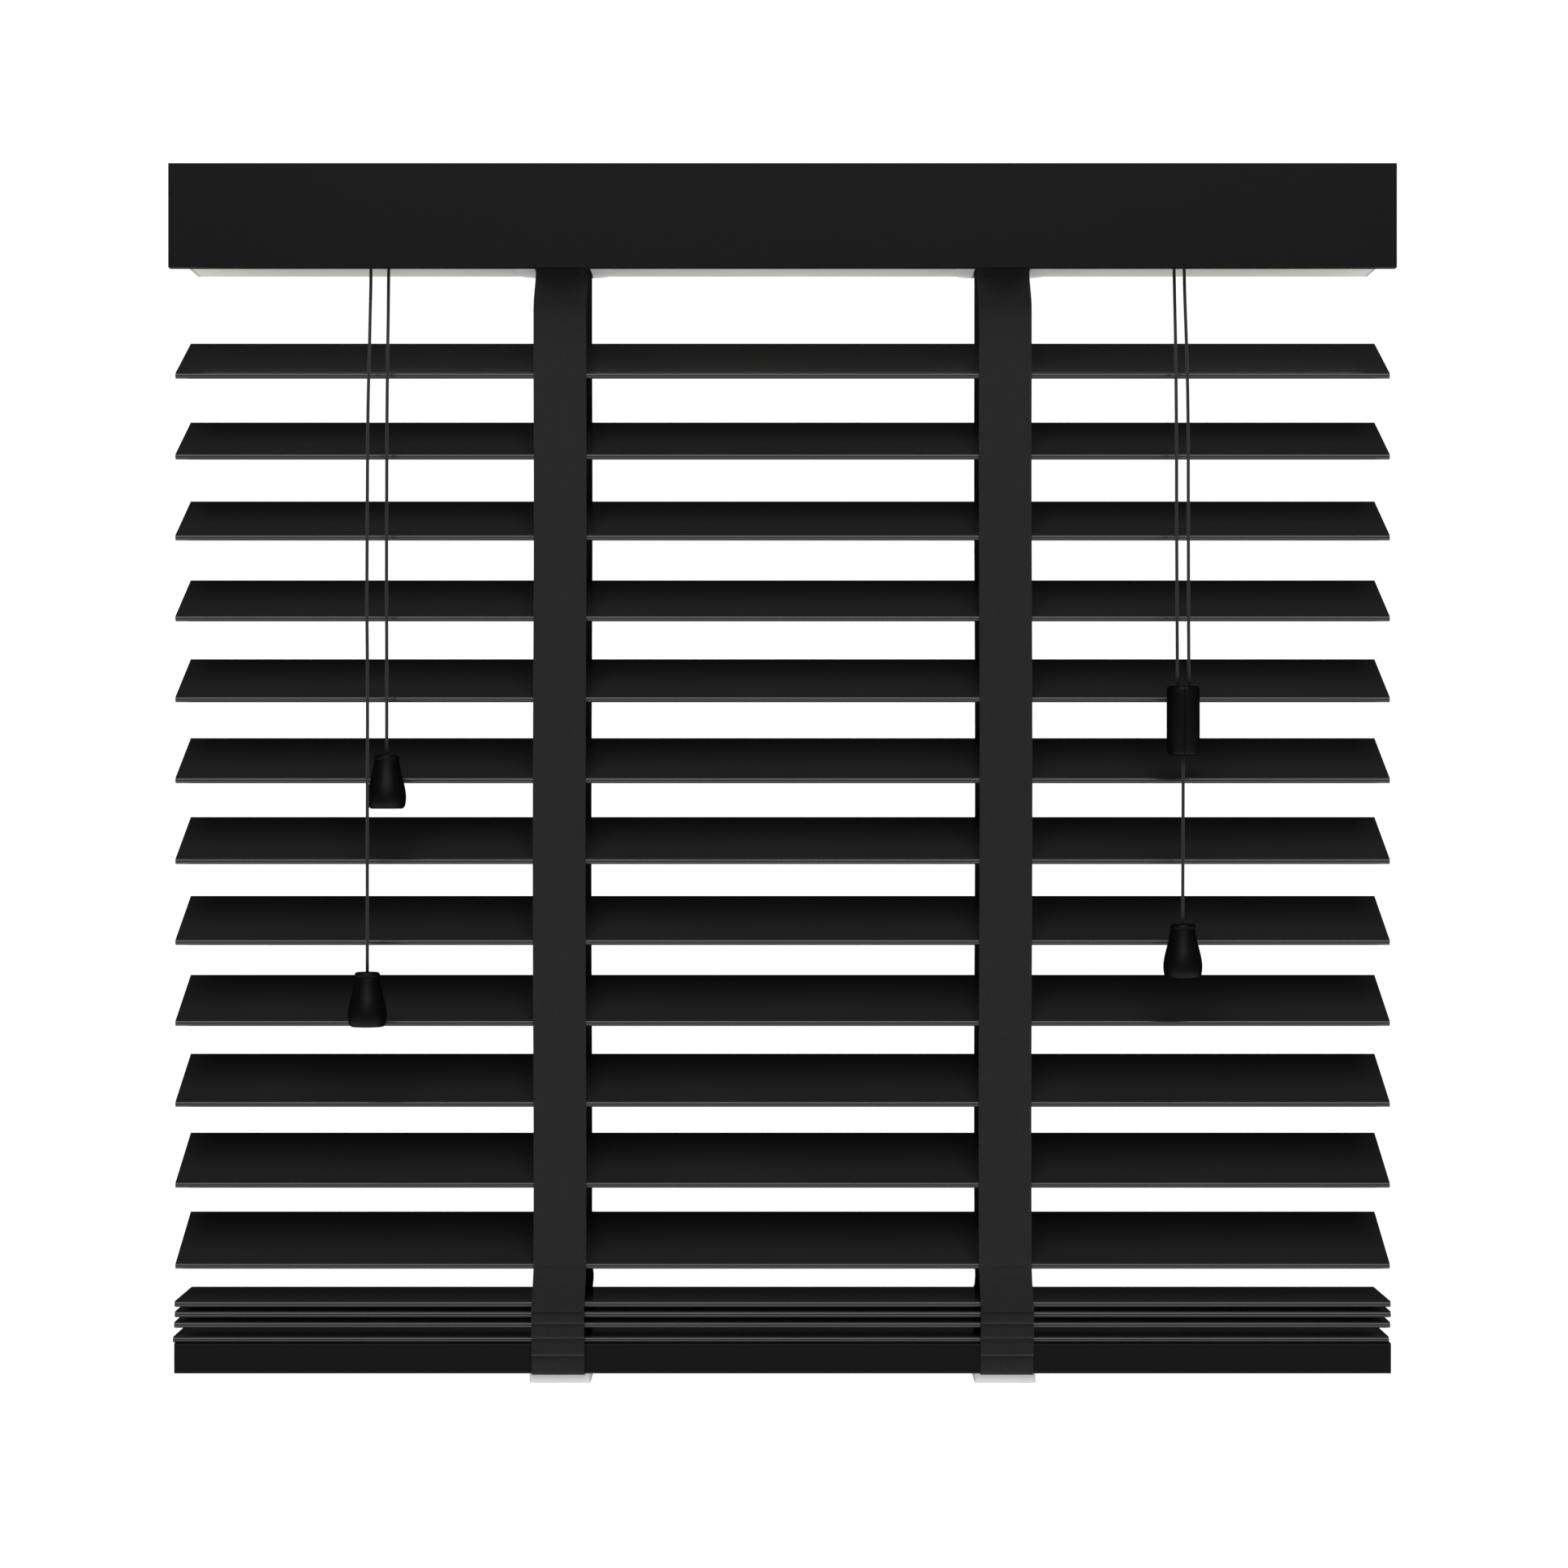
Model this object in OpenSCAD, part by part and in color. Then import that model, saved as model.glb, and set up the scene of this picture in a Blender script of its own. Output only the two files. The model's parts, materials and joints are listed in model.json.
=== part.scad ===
// Venetian blind, 50 mm slats on 26 mm ladder tapes, hung by clip brackets.
// Origin: centre of the ceiling face of the two brackets.
// +X is to the right, -Y to the room, +Z up.

/* [Slats] */
// Length of every slat
slat_l = 600; // [500:10:700]
// Width of a slat, front edge to rear edge
slat_w = 50; // [48:1:52]
// Thickness of a slat
slat_t = 3; // [2.4:0.1:3.4]
// Height from slat to slat while the blind hangs down
slat_pitch = 40; // [38:1:42]
// Tilt of the hanging slats at rest, front edge down
tilt_rest = 25; // [15:1:30]
// Height of the first slat's centre
first_slat_z = -92; // [-96:1:-88]
// Length of a slat's slot for the lift cord, across the slat
rout_l = 20; // [18:1:22]
// Width of a slat's slot for the lift cord
rout_w = 5; // [4:0.5:6]

/* [Ladder tapes] */
// Distance of each tape's centre from the middle of the blind
tape_x = 110; // [100:5:130]
// Width of the woven tape
tape_w = 26; // [24:1:28]
// Thickness of the woven tape
tape_t = 0.7; // [0.5:0.1:0.8]
// Width of a rung under a slat
rung_w = 5; // [3:0.5:6]

/* [Headrail] */
// Length of the headrail
rail_l = 592; // [490:1:592]
// Depth of the headrail, front to rear
head_d = 57; // [57:1:60]
// Height of the headrail
head_h = 40; // [40:1:42]
// Sheet thickness of the headrail
head_t = 1; // [0.8:0.1:1.2]
// Underside of the headrail
head_z = -45.5; // [-46:0.1:-45]
// Width of the valance
valance_l = 600; // [500:10:700]
// Height of the valance
valance_h = 51; // [50:1:56]
// Thickness of the valance
valance_t = 6; // [5:0.5:7]

/* [Bottom rail] */
// Depth of the bottom rail, front to rear
foot_d = 52; // [50:1:54]
// Height of the bottom rail
foot_h = 15; // [14:1:16]
// Top face of the bottom rail
foot_z = -579.6; // [-580:0.1:-579]

/* [Mounting] */
// Distance between the two brackets' centres
bracket_x = 460; // [300:10:480]
// Distance between a bracket's two ceiling holes
ceiling_hole_y = 24; // [20:1:28]
// Distance between a bracket's two wall holes
wall_hole_z = 18; // [16:1:20]
// Diameter of the screw holes
screw_d = 4.5; // [4:0.1:5]

/* [Hidden] */

$fn = 48;
hanging = 12;                    // slats held open by the ladder tapes
edge_r = slat_t / 2;             // the slats' long edges are fully round
edge_u = slat_w / 2 - edge_r;    // centre of that round, from the slat's axis
tape_gap = 0.35;                 // between a slat's edge and the tape
edge_y = edge_u * cos(tilt_rest);
edge_z = edge_u * sin(tilt_rest);
tape_y = edge_y + edge_r + tape_gap;
stack_z = [-560.5, -565.6, -570.8, foot_z + slat_t / 2];
stack_x = [0, 0.1, -0.2, -0.8];
head_top = head_z + head_h;
head_in = head_z + head_t;       // floor of the headrail, inside
valance_y = -42;                 // front face of the valance
rod_z = -22;                     // axis of the tilt rod
rod_s = 6;                       // the rod is square
drum_r = 9.5;
drum_l = 26;
journal_r = 5;
fit = 0.05;                      // radial clearance of a running fit
wheel_r = 8;                     // pitch radius of the worm wheel
worm_r = 4;                      // pitch radius of the worm
worm_z = rod_z - wheel_r - worm_r;
wheel_teeth = 24;
tilter_x = -198.8;
pulley_y = -24;
pulley_r = 4.4;                  // to the centre of the wound cord
lock_x = 195.7;
cord_d = 1.6;
lane_y = 2.5;                    // lift cords run either side of the middle
lane_z = -40.5;
cord_bend = 4;

// Routes of the free cords, from the mechanism down to what hangs on them.
tilt_front_route = [[-203.2, -24, -35], [-203.2, -24, -46], [-203, -26, -58],
    [-202.7, -31, -72], [-202.2, -38, -90], [-201.8, -45, -108],
    [-201.5, -50, -126], [-201.3, -53, -146], [-201.3, -54, -170],
    [-201.3, -54, -260], [-201.3, -54, -330], [-201.3, -54, -395]];
tilt_rear_route = [[-194.4, -24, -35], [-194.4, -24, -46], [-194.4, -25, -58],
    [-194.3, -27, -72], [-194.2, -30, -90], [-194.1, -33, -110],
    [-194, -35.2, -132], [-194, -36, -160], [-194, -36, -230],
    [-194, -36, -289.5]];
lift_left_route = [[193.2, -24, -38], [193.2, -24, -46], [193.2, -26, -60],
    [193, -31, -78], [192.6, -37, -98], [192.3, -41.5, -120],
    [192.2, -43.6, -145], [192.2, -44, -175], [192.4, -44, -220],
    [192.6, -44, -256]];
lift_right_route = [[198.2, -24, -38], [198.2, -24, -46], [198.2, -26, -60],
    [198.2, -31, -78], [198.1, -37, -98], [198, -41.5, -120],
    [197.9, -43.6, -145], [197.9, -44, -175], [198, -44, -220],
    [198.2, -44, -256]];
lift_single_route = [[195.4, -44, -290], [195.3, -44, -331], [195.2, -44, -372]];

// ---- helpers ----------------------------------------------------------

function unit(v) = v / norm(v);

function heading(p, i) =
    unit(p[min(i + 1, len(p) - 1)] - p[max(i - 1, 0)]);

// Frame across a route that runs mostly downwards: no twist is needed.
function ring_point(p, i, r, sides, k) =
    let (t = heading(p, i),
        u = unit(cross(t, [0, 1, 0])),
        v = cross(u, t),
        a = 360 * k / sides)
    p[i] + r * (cos(a) * u + sin(a) * v);

module tube(route, d, sides = 8) {
    n = len(route);
    points = [for (i = [0 : n - 1], k = [0 : sides - 1])
        ring_point(route, i, d / 2, sides, k)];
    walls = [for (i = [0 : n - 2], k = [0 : sides - 1])
        let (a = i * sides + k, b = i * sides + (k + 1) % sides)
        [a, a + sides, b + sides, b]];
    first = [for (k = [0 : sides - 1]) k];
    last = [for (k = [sides - 1 : -1 : 0]) (n - 1) * sides + k];
    polyhedron(points, concat([first], walls, [last]));
}

// A bar of profile (Y, Z) that runs along X, centred on x.
module along_x(l, x = 0) {
    translate([x - l / 2, 0, 0])
        rotate([90, 0, 90])
            linear_extrude(l)
                children();
}

module at_tapes() {
    for (side = [-1, 1])
        translate([side * tape_x, 0, 0])
            children();
}

module rounded_rect(w, h, r) {
    square([w - 2 * r, h], center = true);
    square([w, h - 2 * r], center = true);
    for (sx = [-1, 1], sy = [-1, 1])
        translate([sx * (w / 2 - r), sy * (h / 2 - r)])
            circle(r);
}

// ---- slats, rungs and tapes -------------------------------------------

module slat_profile() {
    square([slat_w - slat_t, slat_t], center = true);
    for (side = [-1, 1])
        translate([side * edge_u, 0])
            circle(edge_r);
}

module slat_blank() {
    difference() {
        along_x(slat_l)
            slat_profile();
        at_tapes()
            linear_extrude(2 * slat_t, center = true)
                rounded_rect(rout_w, rout_l, 2);
    }
}

function slat_z(i) =
    i <= hanging ? first_slat_z - (i - 1) * slat_pitch : stack_z[i - hanging - 1];

module slat(i) {
    color([0.1, 0.1, 0.1])
        if (i <= hanging)
            translate([0, 0, slat_z(i)])
                rotate([tilt_rest, 0, 0])
                    slat_blank();
        else
            translate([stack_x[i - hanging - 1], 0, slat_z(i)])
                slat_blank();
}

rung_t = 0.6;
rung_gap = 0.3;
rung_x = 8;

module rung_straps(l) {
    at_tapes()
        for (side = [-1, 1])
            translate([side * rung_x, 0, -edge_r - rung_gap - rung_t / 2])
                cube([rung_w, l, rung_t], center = true);
}

// Two narrow cross straps per tape, on which the slat lies.
module rungs(i) {
    color([0.14, 0.14, 0.14])
        translate([0, 0, slat_z(i)])
            rotate([tilt_rest, 0, 0])
                rung_straps(2 * edge_u);
}

module stack_rungs() {
    color([0.14, 0.14, 0.14])
        for (i = [13 : 15])
            translate([0, 0, slat_z(i)])
                rung_straps(slat_w - 4);
}

tape_bottom = -557;
front_top = -35.5;
rear_top = -16.3;

// Outline of the front tape seen from its edge: out of the headrail at
// exit_y, then forward to the slats' edges and straight down.
module tape_outline(exit_y, top_z, bottom_z) {
    bend_z = head_z - 2;
    low_z = head_z - 24;
    steps = 8;
    curve = [for (k = [0 : steps])
        let (t = k / steps, s = t * t * (3 - 2 * t))
        [exit_y + (tape_y - exit_y) * s, bend_z + (low_z - bend_z) * t]];
    inner = concat([[exit_y, top_z]], curve, [[tape_y, bottom_z]]);
    outer = [for (k = [len(inner) - 1 : -1 : 0]) inner[k] + [tape_t, 0]];
    polygon(concat(inner, outer));
}

module front_tapes() {
    color([0.16, 0.16, 0.16])
        at_tapes()
            mirror([0, 1, 0])
                along_x(tape_w)
                    tape_outline(7, front_top, tape_bottom);
}

module rear_tapes() {
    color([0.16, 0.16, 0.16])
        at_tapes()
            translate([-tape_w / 2, tape_y, tape_bottom])
                cube([tape_w, tape_t, rear_top - tape_bottom]);
}

// Slack tape that lies in folds along the gathered slats' edges.
module tape_folds() {
    fold_y = foot_d / 2 + 0.4;
    fold_t = 2.2;
    color([0.16, 0.16, 0.16])
        for (side = [-1, 1])
            at_tapes()
                for (band = [[-558, 5.4], [-563.8, 5.2], [-569.4, 7.4],
                    [-577.2, 6.8], [-584.4, 10]])
                    translate([-tape_w / 2, side < 0 ? -fold_y - fold_t : fold_y,
                        band[0] - band[1]])
                        cube([tape_w, fold_t, band[1]]);
}

module lift_cord(side) {
    lane = side * -lane_y;
    translate([side * tape_x, lane, 0]) {
        translate([0, 0, foot_z - foot_h + 3])
            cylinder(h = lane_z - cord_bend - foot_z + foot_h - 3, d = cord_d);
        translate([cord_bend, 0, lane_z - cord_bend])
            rotate([90, 0, 180])
                rotate_extrude(angle = 90)
                    translate([cord_bend, 0])
                        circle(d = cord_d);
    }
    run = lock_x - 12.5 - side * tape_x - cord_bend;
    translate([side * tape_x + cord_bend, lane, lane_z])
        rotate([0, 90, 0])
            cylinder(h = run, d = cord_d);
}

module lift_cords() {
    color([0.1, 0.1, 0.1]) {
        lift_cord(-1);
        lift_cord(1);
    }
}

// ---- headrail and what it holds ---------------------------------------

lip = 6;
guide_slot = [28, 51];

module headrail_profile() {
    translate([-head_d / 2, head_z])
        square([head_d, head_t]);
    for (side = [0, 1])
        mirror([side, 0]) {
            translate([head_d / 2 - head_t, head_z])
                square([head_t, head_h]);
            translate([head_d / 2 - lip, head_top - head_t])
                square([lip, head_t]);
        }
}

module headrail() {
    color([0.72, 0.71, 0.68])
        difference() {
            along_x(rail_l)
                headrail_profile();
            at_tapes()
                translate([0, 0, head_z])
                    linear_extrude(3 * head_t, center = true)
                        square(guide_slot, center = true);
            for (x = [tilter_x, lock_x])
                translate([x, pulley_y, head_z])
                    linear_extrude(3 * head_t, center = true)
                        rounded_rect(16, 5, 2);
        }
}

module headrail_end_caps() {
    cap_t = 1.5;
    color([0.78, 0.77, 0.74])
        for (side = [-1, 1])
            translate([side * (rail_l / 2 + cap_t / 2), 0, head_z + head_h / 2]) {
                cube([cap_t, head_d, head_h], center = true);
                translate([-side * (cap_t / 2 + 3), 0, 0])
                    difference() {
                        cube([6, head_d - 2 * head_t - 0.2, head_h - 2 * head_t - 0.2],
                            center = true);
                        cube([7, head_d - 2 * head_t - 3, head_h - 2 * head_t - 3],
                            center = true);
                    }
            }
}

// Plates under the headrail that the tapes pass through.
module tape_guides() {
    plate_t = 1.2;
    color([0.72, 0.73, 0.69])
        at_tapes()
            translate([0, 0, head_z - plate_t])
                linear_extrude(plate_t)
                    difference() {
                        rounded_rect(47, 54, 12);
                        square(guide_slot, center = true);
                    }
}

cradle_wall = 2;
cradle_gap = 0.5;

module drum_cradles() {
    wall_x = drum_l / 2 + cradle_gap;
    wall_h = rod_z + 7 - head_in;
    color([0.85, 0.85, 0.83])
        at_tapes()
            for (side = [-1, 1])
                difference() {
                    translate([side * (wall_x + cradle_wall / 2), 0,
                        head_in + wall_h / 2])
                        cube([cradle_wall, 53, wall_h], center = true);
                    translate([side * (wall_x + cradle_wall / 2), 0, rod_z])
                        rotate([0, 90, 0])
                            cylinder(h = 3 * cradle_wall, r = journal_r + fit,
                                center = true);
                    translate([side * (wall_x + cradle_wall / 2), 0, lane_z])
                        cube([3 * cradle_wall, 10, 4], center = true);
                }
}

module tilt_rod() {
    color([0.6, 0.6, 0.62])
        translate([-55, 0, rod_z])
            cube([370, rod_s, rod_s], center = true);
}

module tape_drums() {
    flange_r = 11.5;
    flange_t = 1.5;
    color([0.9, 0.9, 0.88])
        at_tapes()
            translate([0, 0, rod_z])
                rotate([0, 90, 0])
                    difference() {
                        union() {
                            cylinder(h = drum_l, r = drum_r, center = true);
                            cylinder(h = drum_l + 8, r = journal_r, center = true);
                            for (side = [-1, 1])
                                translate([0, 0, side * (drum_l - flange_t) / 2])
                                    cylinder(h = flange_t, r = flange_r,
                                        center = true);
                        }
                        cube([rod_s, rod_s, 2 * drum_l], center = true);
                    }
}

housing = [26, 40];
housing_t = 1.5;

module tilter_housing() {
    top = rod_z + 11;
    color([0.2, 0.2, 0.2])
        difference() {
            translate([tilter_x - housing[0] / 2, -27, head_in])
                cube([housing[0], housing[1], top - head_in]);
            translate([tilter_x - housing[0] / 2 + housing_t, -27 + housing_t, head_in - 1])
                cube([housing[0] - 2 * housing_t, housing[1] - 2 * housing_t,
                    top - head_in - housing_t + 1]);
            translate([tilter_x, 0, rod_z])
                rotate([0, 90, 0])
                    cylinder(h = 60, r = 5.2, center = true);
            translate([tilter_x, 12.25, worm_z])
                rotate([90, 0, 0])
                    cylinder(h = 3, r = 2 + fit, center = true);
        }
}

// Cord pulley and worm on one shaft that runs front to rear.
module tilter_worm() {
    thread_p = 2.1;
    threads = 6;
    back = -12.8;
    front = 25.3;
    color([0.85, 0.84, 0.78])
        translate([tilter_x, 0, worm_z])
            rotate([90, 0, 0]) {
                translate([0, 0, back])
                    cylinder(h = front - back, r = 2);
                for (k = [0 : threads - 1])
                    translate([0, 0, (k - threads / 2) * thread_p])
                        cylinder(h = thread_p / 2, r1 = 2.4, r2 = 3.4);
                translate([0, 0, 22.2])
                    cylinder(h = front - 22.2, r = pulley_r - cord_d / 2 - 0.1);
                translate([0, 0, 21.2])
                    cylinder(h = 1, r = pulley_r + cord_d);
            }
}

module tilter_wheel() {
    root_r = wheel_r - 0.6;
    color([0.85, 0.84, 0.78])
        translate([tilter_x, 0, rod_z])
            rotate([0, 90, 0])
                difference() {
                    union() {
                        linear_extrude(6, center = true)
                            union() {
                                circle(root_r);
                                for (k = [0 : wheel_teeth - 1])
                                    rotate((k + 0.5) * 360 / wheel_teeth)
                                        translate([root_r - 1, -0.45])
                                            square([1.8, 0.9]);
                            }
                        cylinder(h = 25, r = journal_r, center = true);
                    }
                    cube([rod_s, rod_s, 60], center = true);
                }
}

module cord_lock_housing() {
    top = -14;
    color([0.85, 0.85, 0.83])
        difference() {
            translate([lock_x - 12, -27, head_in])
                cube([24, 38, top - head_in]);
            translate([lock_x - 13, -8, lane_z - 3])
                cube([23.5, 16, 6]);
            translate([lock_x - 8, -25.5, head_in - 1])
                cube([16, 34, 24]);
        }
}

// Knurled roller that jams the lift cords when they are let go.
module cord_lock_roller() {
    color([0.78, 0.68, 0.4])
        translate([lock_x, -14, -31])
            rotate([0, 90, 0]) {
                cylinder(h = 14, r = 3, center = true);
                cylinder(h = 15.4, r = 1.2, center = true);
            }
}

// ---- valance and brackets ---------------------------------------------

module valance() {
    edge = 0.6;
    color([0.11, 0.11, 0.11])
        along_x(valance_l)
            translate([valance_y + valance_t / 2, -0.5 - valance_h / 2])
                rounded_rect(valance_t, valance_h, edge);
}

module valance_clips() {
    front = valance_y + valance_t;
    back = -head_d / 2;
    color([0.9, 0.9, 0.9])
        for (side = [-1, 1])
            along_x(22, side * 150) {
                translate([front, head_z + 6])
                    square([2, 34]);
                translate([back - 1.5, head_z + 6])
                    square([1.5, 34]);
                translate([front, head_z + 22])
                    square([back - front, 2]);
                translate([back - 1.5, head_top])
                    square([8, 1.5]);
            }
}

plate_d = 62;

module bracket_profile() {
    plate_t = 1.5;
    back = head_d / 2 + 3;
    translate([back - plate_d, -plate_t])
        square([plate_d, plate_t]);
    translate([back - plate_t, -38])
        square([plate_t, 38]);
    for (side = [0, 1])
        mirror([side, 0]) {
            translate([head_d / 2 - lip - 2, -8])
                square([1.5, 7]);
            translate([head_d / 2 - lip - 2, -8])
                square([5, 1.5]);
        }
}

module mounting_brackets() {
    bracket_w = 26;
    color([0.8, 0.8, 0.82])
        for (side = [-1, 1])
            difference() {
                along_x(bracket_w, side * bracket_x / 2)
                    bracket_profile();
                for (y = [-1, 1])
                    translate([side * bracket_x / 2, y * ceiling_hole_y / 2, 0])
                        cylinder(h = 10, d = screw_d, center = true);
                for (z = [-1, 1])
                    translate([side * bracket_x / 2, head_d / 2 + 2,
                        -20 + z * wall_hole_z / 2])
                        rotate([90, 0, 0])
                            cylinder(h = 10, d = screw_d, center = true);
            }
}

// ---- bottom rail ------------------------------------------------------

module bottom_rail() {
    cap_t = 1.5;
    color([0.09, 0.09, 0.09])
        difference() {
            along_x(slat_l - 2 * cap_t)
                translate([0, foot_z - foot_h / 2])
                    rounded_rect(foot_d, foot_h, 1);
            at_tapes()
                translate([0, 0, foot_z - foot_h / 2])
                    linear_extrude(2 * foot_h, center = true)
                        rounded_rect(8, 10, 2);
        }
}

module bottom_rail_caps() {
    cap_t = 1.5;
    color([0.09, 0.09, 0.09])
        for (side = [-1, 1])
            along_x(cap_t, side * (slat_l / 2 - cap_t / 2))
                translate([0, foot_z - foot_h / 2])
                    rounded_rect(foot_d, foot_h, 1);
}

// Press-in plates that cover the cord knots and hold the tape ends.
module bottom_clips() {
    clip_h = 5;
    color([0.82, 0.82, 0.82])
        at_tapes()
            translate([0, 0, foot_z - foot_h - clip_h])
                difference() {
                    union() {
                        linear_extrude(clip_h)
                            rounded_rect(30, 46, 2);
                        translate([0, 0, clip_h])
                            linear_extrude(2.8)
                                rounded_rect(8, 10, 2);
                    }
                    translate([0, 0, clip_h - 1])
                        linear_extrude(6)
                            square([4, 9], center = true);
                }
}

// ---- free cords, tassels and connector --------------------------------

tassel_h = 26.4;

module tassel(top) {
    color([0.07, 0.07, 0.07])
        translate(top - [0, 0, tassel_h])
            rotate_extrude()
                polygon([[0, 0], [7.2, 0], [8.2, 0.6], [8.8, 2], [9.4, 6], [9.5, 9],
                    [9.2, 12], [8.3, 16], [7.3, 20], [6.6, 23], [6.2, 25.8],
                    [5.8, tassel_h], [0, tassel_h]]);
}

function low_end(route) = route[len(route) - 1];

module tilt_cord_front() {
    color([0.12, 0.12, 0.12])
        tube(tilt_front_route, cord_d);
}

module tilt_cord_rear() {
    color([0.12, 0.12, 0.12])
        tube(tilt_rear_route, cord_d);
}

module lift_cord_left() {
    color([0.12, 0.12, 0.12])
        tube(lift_left_route, cord_d);
}

module lift_cord_right() {
    color([0.12, 0.12, 0.12])
        tube(lift_right_route, cord_d);
}

module lift_cord_single() {
    color([0.12, 0.12, 0.12])
        tube(lift_single_route, cord_d);
}

module tilt_tassel_front() {
    tassel(low_end(tilt_front_route));
}

module tilt_tassel_rear() {
    tassel(low_end(tilt_rear_route));
}

module lift_tassel() {
    tassel(low_end(lift_single_route));
}

module cord_connector() {
    h = 34;
    color([0.07, 0.07, 0.07])
        translate([195.4, -44, -290])
            rotate_extrude()
                polygon([[0, 0], [6.4, 0.4], [7.9, 1.6], [7.9, h - 1],
                    [6.8, h], [0, h]]);
}

// ---- what is drawn ----------------------------------------------------

mounting_brackets();
valance();
valance_clips();
headrail();
headrail_end_caps();
tape_guides();
drum_cradles();
tilt_rod();
tape_drums();
tilter_housing();
tilter_worm();
tilter_wheel();
cord_lock_housing();
cord_lock_roller();
front_tapes();
rear_tapes();
tape_folds();
lift_cords();
slat(1);  // slat_01
slat(2);  // slat_02
slat(3);  // slat_03
slat(4);  // slat_04
slat(5);  // slat_05
slat(6);  // slat_06
slat(7);  // slat_07
slat(8);  // slat_08
slat(9);  // slat_09
slat(10);  // slat_10
slat(11);  // slat_11
slat(12);  // slat_12
slat(13);  // slat_13
slat(14);  // slat_14
slat(15);  // slat_15
slat(16);  // slat_16
rungs(1);  // rungs_01
rungs(2);  // rungs_02
rungs(3);  // rungs_03
rungs(4);  // rungs_04
rungs(5);  // rungs_05
rungs(6);  // rungs_06
rungs(7);  // rungs_07
rungs(8);  // rungs_08
rungs(9);  // rungs_09
rungs(10);  // rungs_10
rungs(11);  // rungs_11
rungs(12);  // rungs_12
stack_rungs();
bottom_rail();
bottom_rail_caps();
bottom_clips();
tilt_cord_front();
tilt_cord_rear();
tilt_tassel_front();
tilt_tassel_rear();
lift_cord_left();
lift_cord_right();
cord_connector();
lift_cord_single();
lift_tassel();
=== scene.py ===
"""Venetian blind with 50 mm slats on woven ladder tapes.

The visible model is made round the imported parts, in their frame.
"""

import json
import math

import bmesh
import bpy
from bpy.props import FloatProperty, FloatVectorProperty, PointerProperty
from mathutils import Matrix, Vector
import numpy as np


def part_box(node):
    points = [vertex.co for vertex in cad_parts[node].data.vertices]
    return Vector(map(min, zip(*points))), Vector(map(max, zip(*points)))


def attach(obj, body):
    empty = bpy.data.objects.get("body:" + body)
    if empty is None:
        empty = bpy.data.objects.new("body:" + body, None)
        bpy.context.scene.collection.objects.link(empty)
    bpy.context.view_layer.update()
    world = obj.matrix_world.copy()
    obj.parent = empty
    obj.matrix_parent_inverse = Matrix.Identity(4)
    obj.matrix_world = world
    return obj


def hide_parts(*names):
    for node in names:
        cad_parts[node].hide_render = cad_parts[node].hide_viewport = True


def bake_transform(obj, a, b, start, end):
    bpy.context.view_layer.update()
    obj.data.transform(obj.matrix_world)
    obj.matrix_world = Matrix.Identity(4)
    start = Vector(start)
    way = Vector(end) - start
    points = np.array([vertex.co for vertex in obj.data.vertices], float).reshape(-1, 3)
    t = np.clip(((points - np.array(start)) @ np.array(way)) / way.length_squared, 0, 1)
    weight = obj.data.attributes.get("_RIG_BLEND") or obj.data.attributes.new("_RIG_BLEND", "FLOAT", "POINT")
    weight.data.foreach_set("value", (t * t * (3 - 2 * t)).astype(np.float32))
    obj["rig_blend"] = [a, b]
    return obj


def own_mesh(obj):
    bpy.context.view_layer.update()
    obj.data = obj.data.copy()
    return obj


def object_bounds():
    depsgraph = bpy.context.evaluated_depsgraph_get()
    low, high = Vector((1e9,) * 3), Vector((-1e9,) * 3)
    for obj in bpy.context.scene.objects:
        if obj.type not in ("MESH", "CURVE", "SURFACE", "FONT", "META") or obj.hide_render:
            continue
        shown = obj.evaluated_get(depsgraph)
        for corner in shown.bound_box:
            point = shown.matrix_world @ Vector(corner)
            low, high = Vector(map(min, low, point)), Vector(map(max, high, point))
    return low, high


bl_info = {
    "name": "Venetian blind",
    "version": (1, 0, 0),
    "blender": (4, 5, 0),
    "location": "3D View > Sidebar > Blind",
    "description": "Builds the tapes, cords, pulls and finishes of a venetian blind",
    "category": "Object",
}

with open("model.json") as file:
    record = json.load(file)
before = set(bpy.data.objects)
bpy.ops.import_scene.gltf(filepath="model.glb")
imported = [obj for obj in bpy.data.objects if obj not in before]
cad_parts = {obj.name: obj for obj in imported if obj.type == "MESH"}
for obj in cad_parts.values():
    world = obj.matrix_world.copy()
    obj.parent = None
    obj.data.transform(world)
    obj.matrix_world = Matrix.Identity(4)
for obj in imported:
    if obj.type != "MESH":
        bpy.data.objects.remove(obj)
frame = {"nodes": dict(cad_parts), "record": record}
CAD_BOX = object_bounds()
MM = 0.001
LEFT, RIGHT = -1, 1
SIDES = {"left": LEFT, "right": RIGHT}
SLOTS = {s["node"]: s["material_slot"] for s in frame["record"]["subparts"]}
# Slats 1 to 12 hang, 13 to 16 lie on the bottom rail.
HANGING = 12
LOWEST = 16
FINISHES = {}

# The stage: places and sizes in metres, the lens in millimetres, the lamp in watts.
CAMERA_PLACE = (0.0007, -1.695, -0.3038)
CAMERA_LENS = 77.72
LAMP_PLACE = (0, -2.3, 2.0)
LAMP_AIM = (0, 0, -0.3)
LAMP_SIZE = 2.9
LAMP_POWER = 66
WHITE = 1.05
LIGHT_IN_FRONT, LIGHT_BEHIND = 0.24, 0.02
FLOOR_BELOW = 1.4
FLOOR_HALF = 4.5

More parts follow.
